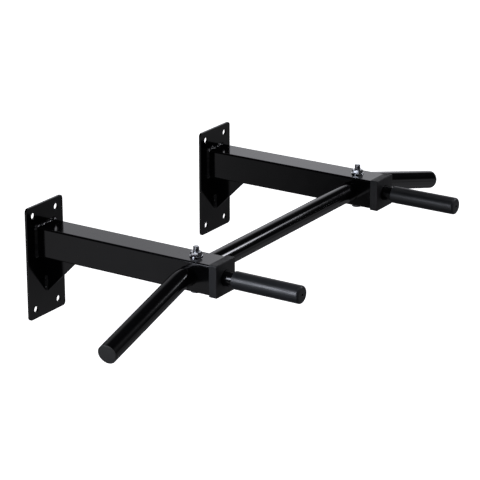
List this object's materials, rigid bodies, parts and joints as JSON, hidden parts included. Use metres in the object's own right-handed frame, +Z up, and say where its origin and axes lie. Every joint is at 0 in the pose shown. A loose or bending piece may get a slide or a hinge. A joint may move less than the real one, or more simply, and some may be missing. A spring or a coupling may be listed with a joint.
{
  "type": "wall-mounted pull-up bar",
  "caption": "Wall-mounted pull-up bar: welded square-arm brackets on drilled plates hold a long round bar with drooping ends and carry short forward grips.",
  "frame": {"origin": "on the wall's surface, midway between the two brackets, at the height of the square arms' axes", "axes": "+X along the wall to the user's right as they face it, +Y into the wall, so that the arms reach out along -Y, +Z up"},
  "size_m": [1.0074, 0.4906, 0.192],
  "materials": {
    "powder_coated_steel": "gloss black powder coat",
    "moulded_plastic": "black moulded plastic with a fine matt texture",
    "soft_grip": "black dipped vinyl, satin",
    "zinc_plated_steel": "bright zinc plate"
  },
  "bodies": {
    "root": {"left_wall_plate": "powder_coated_steel", "left_arm_tube": "powder_coated_steel", "left_arm_weld": "powder_coated_steel", "left_gusset": "powder_coated_steel", "left_gusset_plate_weld_inner": "powder_coated_steel", "left_gusset_plate_weld_outer": "powder_coated_steel", "left_gusset_arm_weld_inner": "powder_coated_steel", "left_gusset_arm_weld_outer": "powder_coated_steel", "left_end_plate": "powder_coated_steel", "left_handle_tube": "powder_coated_steel", "left_handle_weld": "powder_coated_steel", "left_arm_cap": "moulded_plastic", "left_grip": "soft_grip", "left_clamp_bolt": "zinc_plated_steel", "left_washer_upper": "zinc_plated_steel", "left_washer_lower": "zinc_plated_steel", "left_clamp_nut": "zinc_plated_steel", "left_bar_plug": "moulded_plastic", "right_wall_plate": "powder_coated_steel", "right_arm_tube": "powder_coated_steel", "right_arm_weld": "powder_coated_steel", "right_gusset": "powder_coated_steel", "right_gusset_plate_weld_inner": "powder_coated_steel", "right_gusset_plate_weld_outer": "powder_coated_steel", "right_gusset_arm_weld_inner": "powder_coated_steel", "right_gusset_arm_weld_outer": "powder_coated_steel", "right_end_plate": "powder_coated_steel", "right_handle_tube": "powder_coated_steel", "right_handle_weld": "powder_coated_steel", "right_arm_cap": "moulded_plastic", "right_grip": "soft_grip", "right_clamp_bolt": "zinc_plated_steel", "right_washer_upper": "zinc_plated_steel", "right_washer_lower": "zinc_plated_steel", "right_clamp_nut": "zinc_plated_steel", "right_bar_plug": "moulded_plastic", "pull_up_bar": "powder_coated_steel"}
  },
  "joints": []
}
